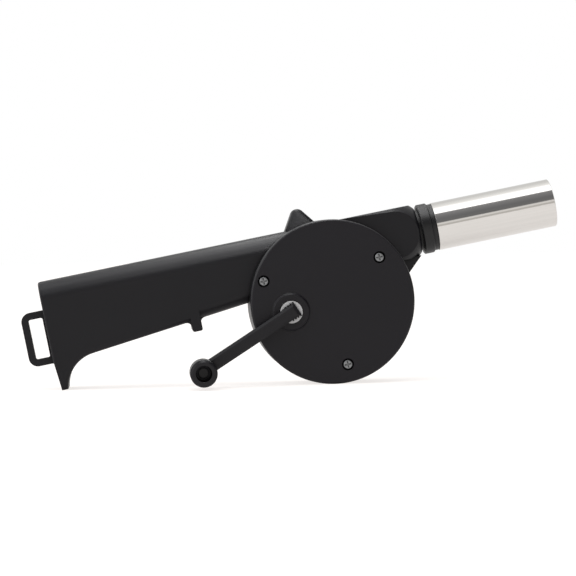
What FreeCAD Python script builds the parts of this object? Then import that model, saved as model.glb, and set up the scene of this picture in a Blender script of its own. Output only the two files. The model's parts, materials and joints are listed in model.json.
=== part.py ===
import FreeCAD, Part
import math
import os
import re
import Sketcher
from FreeCAD import Placement, Rotation, Vector

# Hand crank blower: two half shells hold a gear train and a radial fan, and a steel tube is the nozzle.
# Working axes: X runs forward along the tube, Z is up across it, -Y is the crank's side.
# Their origin is the fan's axis on the parting plane. A common placement then stands the tool
# on its heel and drum, with the origin at the bottom centre of its box.

doc = FreeCAD.newDocument("hand_crank_blower")
sheet = doc.addObject("Spreadsheet::Sheet", "sizes")

# Driving sizes in millimetres, degrees and counts.
sizes = {
    # Housing and drum
    "wall": 2.0,
    "drum_radius": 35.5,
    "drum_depth": 18.0,
    "fan_half": 8.4,
    "chamber_web": 2.0,
    "rear_round": 2.4,
    "intake_radius": 19.0,
    "scroll_inset": 10.3,
    "scroll_wall": 1.6,
    # Handle
    "handle_back": 121.7,
    "handle_top": 33.6,
    "handle_half": 12.5,
    "handle_reach": 8.0,
    "handle_round": 7.7,
    "grip_round": 4.6,
    "underside_round": 2.0,
    "underside_level": 10.25,
    "underside_slope": 6.12,
    "heel_reach": 6.0,
    "heel_depth": 14.0,
    "heel_thick": 2.7,
    "heel_round": 15.0,
    "heel_ledge": 1.1,
    "nub_place": 59.2,
    "nub_width": 4.4,
    "nub_low": 1.0,
    "nub_round": 0.9,
    "rib_thick": 1.6,
    "rear_rib": 26.0,
    "nub_rib": 6.5,
    # Fin on top and web below the neck
    "fin_half": 3.6,
    "fin_back": 13.1,
    "fin_peak": 6.5,
    "fin_height": 44.4,
    "fin_front": 0.7,
    "fin_round": 3.2,
    "fin_edge": 1.2,
    "gusset_half": 6.0,
    "gusset_low": 2.2,
    # Neck, collar and tube
    "tube_axis": 22.4,
    "tube_radius": 10.5,
    "tube_wall": 0.8,
    "tube_length": 52.8,
    "tube_edge": 0.2,
    "tube_ream": 0.25,
    "duct_radius": 7.9,
    "neck_end": 44.2,
    "ogive_length": 32.0,
    "neck_half_height": 11.5,
    "neck_back_radius": 15.6,
    "neck_front_radius": 14.6,
    "neck_bend": 34.0,
    "neck_round": 15.0,
    "seat_wall": 1.0,
    "seat_length": 10.0,
    "flange_height": 0.6,
    "flange_width": 2.2,
    "collar_gap": 1.2,
    "collar_width": 4.6,
    "collar_radius": 10.95,
    "collar_edge": 0.4,
    "shoulder_width": 2.1,
    "shoulder_radius": 10.2,
    "spigot_length": 10.0,
    "spigot_gap": 0.2,
    # End cap and strap loop
    "cap_thick": 1.3,
    "cap_edge": 0.9,
    "cap_bottom": 2.3,
    "cap_rim": 6.0,
    "cap_rim_wall": 1.5,
    "loop_half": 2.2,
    "loop_top": 21.3,
    "loop_reach": 10.5,
    "loop_bar": 3.1,
    "loop_inner_bar": 1.2,
    "loop_round": 4.0,
    "slot_round": 0.8,
    # Cover
    "cover_thick": 2.0,
    "cover_round": 0.9,
    "lip_depth": 0.8,
    "lip_wall": 1.2,
    "boss_ring_radius": 8.3,
    "boss_ring_height": 1.2,
    "boss_ring_taper": 35.0,
    "cover_screw_inset": 7.7,
    "lip_screw_inset": 4.4,
    "cover_screw_angle": 32.0,
    "cover_boss_radius": 2.3,
    "counterbore_radius": 2.6,
    "counterbore_depth": 1.2,
    # Crank
    "crank_inset": 17.0,
    "crank_drop": 0.7,
    "crank_angle": 201.8,
    "crank_length": 45.8,
    "arm_width": 5.8,
    "arm_thick": 4.6,
    "arm_bevel": 1.0,
    "arm_end_bevel": 1.4,
    "grip_ribs": 4,
    "grip_rib_width": 0.6,
    "grip_rib_pitch": 1.3,
    "grip_rib_out": 0.6,
    "grip_rib_height": 2.6,
    "arm_gap": 0.6,
    "eye_radius": 4.6,
    "plug_depth": 5.0,
    "knob_radius": 5.8,
    "knob_length": 17.0,
    "knob_round": 1.0,
    "knob_gap": 0.4,
    "knob_shoulder": 7.6,
    "knob_bore": 3.5,
    "post_radius": 2.0,
    "post_end": 1.6,
    "clip_radius": 3.1,
    "clip_thick": 0.5,
    # Gears
    "drive_teeth": 34,
    "pinion_teeth": 10,
    "wheel_teeth": 30,
    "fan_teeth": 10,
    "drive_module": 0.8,
    "wheel_module": 0.7,
    "pressure_angle": 20.0,
    "profile_shift": 0.42,
    "root_depth": 1.25,
    "tip_height": 0.85,
    "backlash": 0.14,
    "gear_rim": 3.0,
    "gear_recess": 0.9,
    "drive_width": 2.6,
    "wheel_width": 2.8,
    "layer_gap": 0.4,
    "washer_thick": 0.6,
    "hub_radius": 4.8,
    "hub_stand": 0.6,
    "pivot_radius": 2.2,
    "pivot_length": 4.9,
    "pin_radius": 1.5,
    "shaft_radius": 1.5,
    "pin_boss_radius": 3.0,
    # Fan
    "fan_inset": 12.0,
    "fan_hub_radius": 4.5,
    "blade_count": 10,
    "blade_thick": 1.2,
    "blade_arc": 17.0,
    "blade_foot": 7.0,
    "fan_plate": 1.2,
    "fan_gap": 2.0,
    # Bushes and nut
    "bush_radius": 3.0,
    "bush_flange": 3.8,
    "bush_flange_thick": 0.5,
    "bush_reach": 1.5,
    "nut_width": 5.5,
    "nut_thick": 2.0,
    # Intake grille
    "grille_radius": 25.5,
    "grille_thick": 2.0,
    "grille_hub_radius": 5.4,
    "grille_hub_height": 1.6,
    "slot_count": 16,
    "slot_inner": 7.6,
    "slot_outer": 18.0,
    "slot_width": 2.2,
    "slot_inner_width": 1.5,
    "grille_edge": 0.7,
    "grille_screw_circle": 22.4,
    "grille_screw_angle": 90.0,
    # Screws
    "small_shank": 1.1,
    "small_head": 1.95,
    "small_head_height": 1.1,
    "cover_screw_length": 7.0,
    "grille_screw_length": 3.4,
    "shell_shank": 1.2,
    "shell_head": 2.1,
    "shell_head_height": 1.4,
    "shell_screw_length": 11.0,
    "shell_screw_seat": 4.5,
    "shell_boss_radius": 3.0,
    "head_round": 0.5,
    "recess_width": 0.6,
    "recess_depth": 0.7,
    "recess_reach": 1.4,
    "rear_screw_ahead": 14.2,
    "rear_screw_up": 20.5,
    "middle_screw_ahead": 41.2,
    "middle_screw_up": 16.0,
    "front_screw_ahead": 8.7,
    "front_screw_up": 20.0,
    "drum_screw_inset": 5.2,
    "drum_screw_angle": 10.0,
    "low_screw_angle": 60.0,
    # Clearances
    "fit_gap": 0.05,
    "run_gap": 0.1,
}
for row, (size_name, number) in enumerate(sizes.items(), start=1):
    sheet.set(f"A{row}", size_name)
    sheet.set(f"B{row}", str(number))
    sheet.setAlias(f"B{row}", size_name)
doc.recompute()

# Places worked out from the driving sizes, written as formulas over the sheet's names.
housing_half = "(fan_half + chamber_web)"
cover_front = "(drum_depth + cover_thick)"
drum_bore = "(drum_radius - wall)"
scroll_start = "(drum_radius - scroll_inset)"
fan_radius = "(drum_radius - fan_inset)"
crank_back = "(drum_radius - crank_inset)"
heel_corner = "(handle_back - heel_reach)"
rear_rib_back = "(handle_back - rear_rib)"
nub_rib_back = "(nub_place + nub_rib)"
drum_screw_circle = "(drum_radius - drum_screw_inset)"
wheel_back = f"({housing_half} + washer_thick)"
drive_back = f"({wheel_back} + wheel_width + layer_gap)"
drive_front = f"({drive_back} + drive_width)"
hub_front = f"({cover_front} + boss_ring_height + hub_stand)"
arm_back = f"({hub_front} + arm_gap)"
arm_front = f"({arm_back} + arm_thick)"
knob_back = f"({arm_front} + knob_gap)"
socket_bottom = f"({hub_front} - plug_depth)"
seat_radius = "(duct_radius + seat_wall)"
ream_radius = "(tube_radius - tube_wall + tube_ream)"
collar_back = "(neck_end + collar_gap)"
tube_start = f"({collar_back} + collar_width + shoulder_width)"
shell_screws_at = {
    "handle_rear": ("rear_screw_ahead - handle_back", "rear_screw_up"),
    "handle_middle": ("middle_screw_ahead - handle_back", "middle_screw_up"),
    "handle_front": ("front_screw_ahead - nub_place", "front_screw_up"),
    "drum_front": (
        f"{drum_screw_circle}*cos(drum_screw_angle)",
        f"{drum_screw_circle}*sin(drum_screw_angle)",
    ),
    "drum_low": (
        f"{drum_screw_circle}*cos(low_screw_angle)",
        f"-{drum_screw_circle}*sin(low_screw_angle)",
    ),
}


def value(expression):
    return float(sheet.evalExpression(expression))


def bound(expression):
    def cell(word):
        return f"sizes.{word[0]}" if word[0] in sizes else word[0]

    return re.sub(r"[a-z][a-z_]*", cell, expression)


def new_body(name):
    body = doc.addObject("PartDesign::Body", name)
    body.Label = name
    return body


def new_sketch(body, label, role, offset="0"):
    sketch = body.newObject("Sketcher::SketchObject", label)
    plane = next(item for item in body.Origin.OriginFeatures if item.Role == role)
    sketch.AttachmentSupport = [(plane, "")]
    sketch.MapMode = "FlatFace"
    sketch.setExpression("AttachmentOffset.Base.z", bound(offset))
    return sketch


def bind(sketch, kind, places, expression):
    number = sketch.addConstraint(Sketcher.Constraint(kind, *places, value(expression)))
    sketch.setExpression(f"Constraints[{number}]", bound(expression))


def polygon(sketch, corners):
    points = [Vector(value(across), value(up), 0) for across, up in corners]
    first = sketch.GeometryCount
    for start, end in zip(points, points[1:] + points[:1]):
        sketch.addGeometry(Part.LineSegment(start, end))
    for number, (across, up) in enumerate(corners):
        here = first + number
        after = first + (number + 1) % len(corners)
        sketch.addConstraint(Sketcher.Constraint("Coincident", here, 2, after, 1))
        bind(sketch, "DistanceX", (-1, 1, here, 1), across)
        bind(sketch, "DistanceY", (-1, 1, here, 1), up)


def circle(sketch, across, up, radius):
    centre = Vector(value(across), value(up), 0)
    number = sketch.addGeometry(Part.Circle(centre, Vector(0, 0, 1), value(radius)))
    bind(sketch, "DistanceX", (-1, 1, number, 3), across)
    bind(sketch, "DistanceY", (-1, 1, number, 3), up)
    bind(sketch, "Radius", (number,), radius)


def feature(body, kind, label, sketch, **settings):
    """Adds a feature of the sketch and makes sure that it changed the solid the right way."""
    before = body.Shape.Volume if body.Tip else 0.0
    item = body.newObject(f"PartDesign::{kind}", label)
    item.Profile = sketch
    for key, setting in settings.items():
        if isinstance(setting, str):
            item.setExpression(key, bound(setting))
        else:
            setattr(item, key, setting)
    doc.recompute()
    if "Invalid" in item.State:
        raise RuntimeError(f"{body.Label}: {label} failed")
    change = body.Shape.Volume - before
    if kind in ("Pocket", "Groove"):
        change = -change
    if change <= 0.001:
        raise RuntimeError(f"{body.Label}: {label} changed nothing")
    return item


def edges_where(shape, test):
    return [f"Edge{number}" for number, edge in enumerate(shape.Edges, start=1) if test(edge)]


def middle(edge):
    return edge.valueAt((edge.FirstParameter + edge.LastParameter) / 2)


def fillet(body, label, radius, test, kind="Fillet"):
    """Rounds the edges that pass the test, or bevels them where the kind is Chamfer."""
    base = body.Tip
    names = edges_where(base.Shape, test)
    if not names:
        raise RuntimeError(f"{body.Label}: {label} found no edge")
    item = body.newObject(f"PartDesign::{kind}", label)
    item.Base = (base, names)
    item.setExpression("Radius" if kind == "Fillet" else "Size", bound(radius))
    doc.recompute()
    if "Invalid" in item.State:
        raise RuntimeError(f"{body.Label}: {label} failed")
    return item


def near(one, other, slack=0.02):
    return abs(one - other) < slack


def pattern(body, label, original, axis_role, count):
    item = body.newObject("PartDesign::PolarPattern", label)
    item.Originals = [original]
    axis = next(thing for thing in body.Origin.OriginFeatures if thing.Role == axis_role)
    item.Axis = (axis, [""])
    item.Angle = 360
    item.setExpression("Occurrences", bound(count))
    body.Tip = item
    doc.recompute()
    return item


def turned(name, corners, along="Y"):
    """A turned piece: corners are (place along the axis, radius)."""
    body = new_body(name)
    sketch = new_sketch(body, f"{name}_profile", "XY_Plane")
    if along == "Y":
        polygon(sketch, [(radius, place) for place, radius in corners])
        feature(body, "Revolution", f"{name}_turn", sketch, ReferenceAxis=(sketch, ["V_Axis"]), Angle=360.0)
    else:
        polygon(sketch, corners)
        feature(body, "Revolution", f"{name}_turn", sketch, ReferenceAxis=(sketch, ["H_Axis"]), Angle=360.0)
    return body


def underside(place):
    return f"(underside_level + ({place})*tan(underside_slope))"


def scroll_outline(sketch, growth, duct_end):
    """Three quarter arcs of growing radius round the fan, then the straight duct to the neck."""
    start_radius = f"({scroll_start} + {growth})"
    step = f"((tube_axis + duct_radius - {scroll_start})/3)"
    radii = [start_radius, f"({start_radius} + {step})", f"({start_radius} + 2*{step})"]
    rise = value(step)
    low = f"(tube_axis - duct_radius - {growth})"
    centres = [Vector(0, 0, 0), Vector(0, rise, 0), Vector(rise, rise, 0)]
    tongue = math.asin(value(low) / value(radii[0]))
    spans = [(-math.pi / 2, tongue), (math.pi, 1.5 * math.pi), (math.pi / 2, math.pi)]
    arcs = []
    for centre, radius, (first, last) in zip(centres, radii, spans):
        ring = Part.Circle(centre, Vector(0, 0, 1), value(radius))
        arcs.append(sketch.addGeometry(Part.ArcOfCircle(ring, first, last)))
        bind(sketch, "Radius", (arcs[-1],), radius)
    top = rise + value(radii[2])
    corners = [
        Vector(rise, top, 0),
        Vector(value(duct_end), top, 0),
        Vector(value(duct_end), value(low), 0),
        Vector(value(radii[0]) * math.cos(tongue), value(low), 0),
    ]
    lines = [sketch.addGeometry(Part.LineSegment(*pair)) for pair in zip(corners, corners[1:])]
    rule = Sketcher.Constraint
    sketch.addConstraint([
        rule("Coincident", arcs[0], 3, -1, 1),
        rule("Tangent", arcs[0], 1, arcs[1], 2),
        rule("Tangent", arcs[1], 1, arcs[2], 2),
        rule("PointOnObject", arcs[0], 1, -2),
        rule("Horizontal", arcs[1], 3, arcs[1], 1),
        rule("Vertical", arcs[2], 3, arcs[2], 1),
        rule("Coincident", arcs[2], 1, lines[0], 1),
        rule("Coincident", lines[0], 2, lines[1], 1),
        rule("Coincident", lines[1], 2, lines[2], 1),
        rule("Coincident", lines[2], 2, arcs[0], 2),
        rule("Horizontal", lines[0]),
        rule("Vertical", lines[1]),
        rule("Horizontal", lines[2]),
    ])
    bind(sketch, "DistanceX", (-1, 1, lines[0], 2), duct_end)
    bind(sketch, "DistanceY", (-1, 1, arcs[0], 2), low)


def neck_corner_cut(body, sketch):
    """The flat neck becomes round towards its end: everything outside an ogive about the tube's axis goes."""
    back = "(neck_end - ogive_length)"
    outside = "(neck_back_radius + 4*wall)"
    bend = Vector(value("neck_bend"), value("tube_axis + neck_front_radius"), 0)
    start = Vector(value(back), value("tube_axis + neck_back_radius"), 0)
    slope = math.atan2(bend.y - start.y, bend.x - start.x)
    radius = value("neck_round")
    centre = bend + Vector(math.sin(slope), -math.cos(slope), 0) * radius
    last = math.acos((value("neck_end") - centre.x) / radius)
    ring = Part.Circle(centre, Vector(0, 0, 1), radius)
    arc = sketch.addGeometry(Part.ArcOfCircle(ring, last, math.pi / 2 + slope))
    end = Vector(value("neck_end"), centre.y + radius * math.sin(last), 0)
    high = value(f"tube_axis + {outside}")
    corners = [end, Vector(end.x, high, 0), Vector(start.x, high, 0), start, bend]
    lines = [sketch.addGeometry(Part.LineSegment(*pair)) for pair in zip(corners, corners[1:])]
    axis = Part.LineSegment(Vector(start.x, value("tube_axis"), 0), Vector(end.x, value("tube_axis"), 0))
    axis_line = sketch.addGeometry(axis, True)
    rule = Sketcher.Constraint
    sketch.addConstraint([
        rule("Coincident", arc, 1, lines[0], 1),
        rule("Coincident", lines[0], 2, lines[1], 1),
        rule("Coincident", lines[1], 2, lines[2], 1),
        rule("Coincident", lines[2], 2, lines[3], 1),
        rule("Tangent", lines[3], 2, arc, 2),
        rule("Vertical", lines[0]),
        rule("Horizontal", lines[1]),
        rule("Vertical", lines[2]),
        rule("Horizontal", axis_line),
    ])
    bind(sketch, "Radius", (arc,), "neck_round")
    bind(sketch, "DistanceX", (-1, 1, arc, 1), "neck_end")
    bind(sketch, "DistanceY", (-1, 1, lines[1], 1), f"tube_axis + {outside}")
    bind(sketch, "DistanceX", (-1, 1, lines[3], 1), back)
    bind(sketch, "DistanceY", (-1, 1, lines[3], 1), "tube_axis + neck_back_radius")
    bind(sketch, "DistanceX", (-1, 1, lines[3], 2), "neck_bend")
    bind(sketch, "DistanceY", (-1, 1, lines[3], 2), "tube_axis + neck_front_radius")
    bind(sketch, "DistanceX", (-1, 1, axis_line, 1), back)
    bind(sketch, "DistanceX", (-1, 1, axis_line, 2), "neck_end")
    bind(sketch, "DistanceY", (-1, 1, axis_line, 1), "tube_axis")
    feature(body, "Groove", "neck_ogive", sketch, ReferenceAxis=(sketch, ["Axis0"]), Angle=360.0)


def half_shell(name, front):
    """What both halves share: handle, neck, fin, gusset, drum, fan chamber, scroll and collar seat."""
    body = new_body(name)
    outer = value("handle_half") * (-1 if front else 1)
    outward = {"Reversed": not front}
    carve = {"Reversed": front}

    def flat(label):
        return new_sketch(body, f"{label}_outline", "XZ_Plane")

    def on_side(edge):
        return near(edge.BoundBox.YMin, outer) and near(edge.BoundBox.YMax, outer)

    # Handle with its heel and the finger stop under it
    sketch = flat("handle")
    nub_front = "(nub_width/2 - nub_place)"
    nub_back = "(-nub_width/2 - nub_place)"
    polygon(sketch, [
        ("-handle_back", "handle_top"),
        ("handle_reach", "handle_top"),
        ("handle_reach", underside("handle_reach")),
        (nub_front, underside(nub_front)),
        (nub_front, "-nub_low"),
        (nub_back, "-nub_low"),
        (nub_back, underside(nub_back)),
        (f"-{heel_corner}", underside(f"-{heel_corner}")),
        ("heel_thick - handle_back", "-heel_depth"),
        ("-handle_back", "-heel_depth"),
        ("-handle_back - heel_ledge", "-cap_bottom - run_gap"),
        ("-handle_back", "-cap_bottom - run_gap"),
    ])
    feature(body, "Pad", "handle", sketch, Length="handle_half", **outward)
    corner = Vector(-value(heel_corner), 0, value(underside(f"-{heel_corner}")))
    fillet(body, "heel_curve", "heel_round",
           lambda edge: near(middle(edge).x, corner.x) and near(middle(edge).z, corner.z))
    nub_bottom = -value("nub_low")
    fillet(body, "nub_tip", "nub_round",
           lambda edge: near(edge.BoundBox.ZMax, nub_bottom) and near(edge.BoundBox.XLength, 0))

    # Three bays in the handle with a rib between each two
    bays = [
        ("-handle_back - wall", f"-{rear_rib_back} - rib_thick/2"),
        (f"-{rear_rib_back} + rib_thick/2", f"-{nub_rib_back} - rib_thick/2"),
        (f"-{nub_rib_back} + rib_thick/2", "wall - drum_radius"),
    ]
    sketch = flat("bays")
    for back, ahead in bays:
        polygon(sketch, [
            (back, "handle_top - wall"),
            (ahead, "handle_top - wall"),
            (ahead, f"{underside(ahead)} + wall"),
            (back, f"{underside(back)} + wall"),
        ])
    feature(body, "Pocket", "bays", sketch, Length="handle_half - wall", **carve)
    floor = outer * (value("handle_half - wall") / value("handle_half"))
    ceiling = value("handle_top - wall")
    fillet(body, "bay_ceiling", "handle_round - wall",
           lambda edge: near(middle(edge).y, floor) and near(middle(edge).z, ceiling))
    fillet(body, "bay_floor", "grip_round - wall",
           lambda edge: near(edge.BoundBox.YMin, floor) and near(edge.BoundBox.YMax, floor)
           and middle(edge).x > -value("nub_place") and middle(edge).z < value("underside_level")
           and edge.BoundBox.XLength > value("nub_place") / 3)

    # Outer edges of the handle, rounded about the same centres as the bays
    top = value("handle_top")
    fillet(body, "handle_shoulder", "handle_round",
           lambda edge: on_side(edge) and near(middle(edge).z, top))
    fillet(body, "handle_underside", "underside_round",
           lambda edge: on_side(edge) and edge.BoundBox.XMax < value(nub_back) + 0.1
           and edge.BoundBox.XLength > value("heel_thick") + 0.1
           and middle(edge).z < value("underside_level"))
    fillet(body, "grip_underside", "grip_round",
           lambda edge: on_side(edge) and edge.BoundBox.XMin > value(nub_front) - 0.1
           and edge.BoundBox.XLength > value("nub_place") / 2
           and middle(edge).z < value("underside_level") + 2)

    # Flat neck, cut to an ogive at its end
    sketch = flat("neck")
    polygon(sketch, [
        ("handle_reach - wall", "tube_axis - neck_half_height"),
        ("neck_end", "tube_axis - neck_half_height"),
        ("neck_end", "tube_axis + neck_half_height"),
        ("handle_reach - wall", "tube_axis + neck_half_height"),
    ])
    feature(body, "Pad", "neck", sketch, Length=housing_half, **outward)
    neck_corner_cut(body, flat("ogive"))

    # Web under the neck and fin on top
    sketch = flat("gusset")
    polygon(sketch, [
        ("neck_end - wall/2", "tube_axis - neck_half_height + wall/4"),
        ("drum_radius - wall", "gusset_low"),
        ("drum_radius - 4*wall", "gusset_low + wall"),
        ("drum_radius - 4*wall", "tube_axis - neck_half_height + wall/4"),
    ])
    feature(body, "Pad", "gusset", sketch, Length="gusset_half", **outward)
    sketch = flat("fin")
    polygon(sketch, [
        ("-fin_back", "handle_top - wall/4"),
        ("-fin_peak", "fin_height"),
        ("fin_front", "handle_top - wall/4"),
        ("0", "handle_top - 4*wall"),
        ("-fin_back", "handle_top - 4*wall"),
    ])
    feature(body, "Pad", "fin", sketch, Length="fin_half", **outward)
    peak = value("fin_height")
    fillet(body, "fin_top", "fin_round",
           lambda edge: near(middle(edge).z, peak) and near(edge.BoundBox.XLength, 0))
    fin_side = value("fin_half") * (-1 if front else 1)
    fillet(body, "fin_edge_round", "fin_edge",
           lambda edge: near(edge.BoundBox.YMin, fin_side) and near(edge.BoundBox.YMax, fin_side)
           and middle(edge).z > top + 1)

    # Drum
    sketch = flat("drum")
    circle(sketch, "0", "0", "drum_radius")
    drum_length = "drum_depth" if front else f"{housing_half} - rear_round"
    feature(body, "Pad", "drum", sketch, Length=drum_length, **outward)
    if not front:
        rim = new_sketch(body, "rear_rim_outline", "XY_Plane")
        polygon(rim, [
            ("0", "0"),
            ("drum_radius", "0"),
            ("drum_radius", f"{housing_half} - rear_round"),
            ("drum_radius - rear_round*0.3", f"{housing_half} - rear_round*0.3"),
            ("drum_radius - rear_round", housing_half),
            ("0", housing_half),
        ])
        feature(body, "Revolution", "rear_rim", rim, ReferenceAxis=(rim, ["V_Axis"]), Angle=360.0)

    # Fan chamber with the scroll's wall
    sketch = flat("chamber")
    circle(sketch, "0", "0", drum_bore)
    feature(body, "Pocket", "chamber", sketch, Length="fan_half", **carve)
    sketch = flat("scroll")
    scroll_outline(sketch, "0", "neck_end - seat_length + wall")
    scroll_outline(sketch, "scroll_wall", "neck_end - seat_length + 2*wall")
    feature(body, "Pad", "scroll", sketch, Length="fan_half + chamber_web/2", **outward)

    # Bore of the neck with the seat of the collar's barrel and flange
    sketch = flat("neck_bore")
    seat_back = "(neck_end - seat_length)"
    flange_back = f"({seat_back} + flange_width - fit_gap)"
    flange_front = f"({seat_back} + 2*flange_width + fit_gap)"
    level = "tube_axis"
    polygon(sketch, [
        ("neck_end/2", level),
        ("neck_end + wall", level),
        ("neck_end + wall", f"{level} + {seat_radius}"),
        (flange_front, f"{level} + {seat_radius}"),
        (flange_front, f"{level} + {seat_radius} + flange_height"),
        (flange_back, f"{level} + {seat_radius} + flange_height"),
        (flange_back, f"{level} + {seat_radius}"),
        (seat_back, f"{level} + {seat_radius}"),
        (seat_back, f"{level} + duct_radius"),
        ("neck_end/2", f"{level} + duct_radius"),
    ])
    axis = Part.LineSegment(Vector(0, value(level), 0), Vector(value("neck_end"), value(level), 0))
    axis_line = sketch.addGeometry(axis, True)
    sketch.addConstraint(Sketcher.Constraint("Horizontal", axis_line))
    bind(sketch, "DistanceY", (-1, 1, axis_line, 1), level)
    bind(sketch, "DistanceX", (-1, 1, axis_line, 1), "0")
    bind(sketch, "DistanceX", (-1, 1, axis_line, 2), "neck_end")
    feature(body, "Groove", "neck_bore", sketch, ReferenceAxis=(sketch, ["Axis0"]), Angle=360.0)

    # Bosses for the screws that join the halves
    sketch = flat("bosses")
    for across, up in shell_screws_at.values():
        circle(sketch, across, up, "shell_boss_radius")
    feature(body, "Pad", "bosses", sketch, Length="fan_half + chamber_web/2", **outward)
    sketch = flat("handle_bosses")
    for key in ("handle_rear", "handle_middle", "handle_front"):
        circle(sketch, *shell_screws_at[key], "shell_boss_radius")
    feature(body, "Pad", "handle_bosses", sketch, Length="handle_half - wall/2", **outward)
    return body


def cover_screw_places():
    places = []
    for turn in range(3):
        inset = "lip_screw_inset" if turn == 1 else "cover_screw_inset"
        angle = f"(cover_screw_angle + {120 * turn})"
        places.append((f"(drum_radius - {inset})*cos({angle})", f"(drum_radius - {inset})*sin({angle})"))
    return places


def idler_place():
    """Where the idler's axis lies: at the two centre distances from the crank's and the fan's axes."""
    first = value("(drive_teeth + pinion_teeth)*drive_module/2")
    second = value("(wheel_teeth + fan_teeth)*wheel_module/2")
    crank = Vector(-value(crank_back), 0, -value("crank_drop"))
    apart = crank.Length
    along = (first ** 2 - second ** 2 + apart ** 2) / (2 * apart)
    aside = math.sqrt(first ** 2 - along ** 2)
    ahead = -crank / apart
    upward = Vector(-ahead.z, 0, ahead.x)
    return crank + ahead * along + upward * aside


def plain_hole(body, label, sketch_offset, places, radius, depth, inward):
    sketch = new_sketch(body, f"{label}_outline", "XZ_Plane", sketch_offset)
    for across, up in places:
        circle(sketch, across, up, radius)
    return feature(body, "Pocket", label, sketch, Length=depth, Reversed=inward)


def front_shell():
    body = half_shell("front_shell", True)
    idler = idler_place()
    crank_at = (f"-{crank_back}", "-crank_drop")
    idler_at = (f"{idler.x:.4f}", f"{idler.z:.4f}")

    # Gear chamber behind the cover
    plain_hole(body, "gear_chamber", "drum_depth", [("0", "0")], drum_bore,
               f"drum_depth - {housing_half}", False)

    # Bosses of the cover's screws, the drive gear's pivot and the idler pin's seat
    sketch = new_sketch(body, "cover_boss_outline", "XZ_Plane", f"{housing_half} - chamber_web/2")
    for across, up in cover_screw_places():
        circle(sketch, across, up, "cover_boss_radius")
    feature(body, "Pad", "cover_bosses", sketch, Length=f"drum_depth - {housing_half} + chamber_web/2")
    sketch = new_sketch(body, "pivot_outline", "XZ_Plane", f"{housing_half} - chamber_web/2")
    circle(sketch, *crank_at, "pivot_radius")
    feature(body, "Pad", "pivot", sketch, Length="pivot_length + chamber_web/2")
    sketch = new_sketch(body, "idler_seat_outline", "XZ_Plane", f"{housing_half} - chamber_web/2")
    circle(sketch, *idler_at, "pin_boss_radius")
    feature(body, "Pad", "idler_seat", sketch, Length="washer_thick + chamber_web/2 - run_gap")
    sketch = new_sketch(body, "bush_boss_outline", "XZ_Plane", "fan_half - bush_reach")
    circle(sketch, "0", "0", "bush_radius + wall")
    feature(body, "Pad", "bush_boss", sketch, Length="bush_reach + chamber_web/2")

    # Holes: front bush, idler pin, cover screws and the screws that join the halves
    plain_hole(body, "bush_hole", "0", [("0", "0")], "bush_radius + fit_gap/2", "drum_depth", True)
    plain_hole(body, "pin_hole", "fan_half", [idler_at], "pin_radius + fit_gap/2", "drum_depth", True)
    plain_hole(body, "cover_pilots", "drum_depth", cover_screw_places(), "small_shank + fit_gap",
               "cover_screw_length", False)
    plain_hole(body, "shell_pilots", "0", shell_screws_at.values(), "shell_shank + fit_gap",
               "shell_screw_length - shell_screw_seat + wall/4", True)
    return body


def rear_shell():
    body = half_shell("rear_shell", False)
    joining = shell_screws_at.values()
    plain_hole(body, "grille_seat", f"-{housing_half}", [("0", "0")], "grille_radius + run_gap",
               "handle_half", False)
    plain_hole(body, "intake", "0", [("0", "0")], "intake_radius", "2*fan_half", False)
    plain_hole(body, "screw_holes", "0", joining, "shell_shank + fit_gap", "2*handle_half", False)
    plain_hole(body, "screw_counterbores", "-2*handle_half", joining, "shell_head + 2*fit_gap",
               "2*handle_half - shell_screw_seat", True)
    places = grille_screw_places()
    plain_hole(body, "grille_pilots", "0", places, "small_shank + fit_gap", "2*fan_half", False)
    return body


def grille_screw_places():
    places = []
    for turn in range(3):
        angle = f"(grille_screw_angle + {120 * turn})"
        places.append((f"(grille_screw_circle*cos({angle}))", f"(grille_screw_circle*sin({angle}))"))
    return places


def gear_cover():
    body = new_body("gear_cover")
    sketch = new_sketch(body, "cover_profile", "XY_Plane")
    lip_outer = f"({drum_bore} - run_gap)"
    polygon(sketch, [
        ("0", "-drum_depth"),
        ("0", f"-{cover_front}"),
        ("drum_radius", f"-{cover_front}"),
        ("drum_radius", "-drum_depth"),
        (lip_outer, "-drum_depth"),
        (lip_outer, "lip_depth - drum_depth"),
        (f"{lip_outer} - lip_wall", "lip_depth - drum_depth"),
        (f"{lip_outer} - lip_wall", "-drum_depth"),
    ])
    feature(body, "Revolution", "cover_disc", sketch, ReferenceAxis=(sketch, ["V_Axis"]), Angle=360.0)
    face = -value(cover_front)
    fillet(body, "cover_edge", "cover_round",
           lambda edge: near(edge.BoundBox.YMax, face) and near(edge.BoundBox.YMin, face))
    places = cover_screw_places()
    plain_hole(body, "lip_notches", "drum_depth - 2*lip_depth", places[1:2], "cover_boss_radius + run_gap",
               "2*lip_depth", True)
    crank_at = (f"-{crank_back}", "-crank_drop")
    sketch = new_sketch(body, "boss_ring_outline", "XZ_Plane", cover_front)
    circle(sketch, *crank_at, "boss_ring_radius")
    feature(body, "Pad", "boss_ring", sketch, Length="boss_ring_height", TaperAngle="-boss_ring_taper")
    idler = idler_place()
    idler_at = (f"{idler.x:.4f}", f"{idler.z:.4f}")
    sketch = new_sketch(body, "pin_boss_outline", "XZ_Plane", f"{drive_front} + run_gap")
    circle(sketch, *idler_at, "pin_boss_radius")
    feature(body, "Pad", "pin_boss", sketch, Length=f"{cover_front} - {drive_front} - cover_thick/2")
    plain_hole(body, "pin_socket", "drum_depth/2", [idler_at], "pin_radius + fit_gap",
               "drum_depth/2 + cover_thick/2", True)
    plain_hole(body, "hub_hole", "0", [crank_at], "hub_radius + run_gap", "2*drum_depth", True)
    plain_hole(body, "counterbores", f"{cover_front} + cover_thick", places, "counterbore_radius",
               "cover_thick + counterbore_depth", False)
    plain_hole(body, "screw_holes", "0", places, "small_shank + fit_gap", "2*drum_depth", True)
    return body


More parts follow.
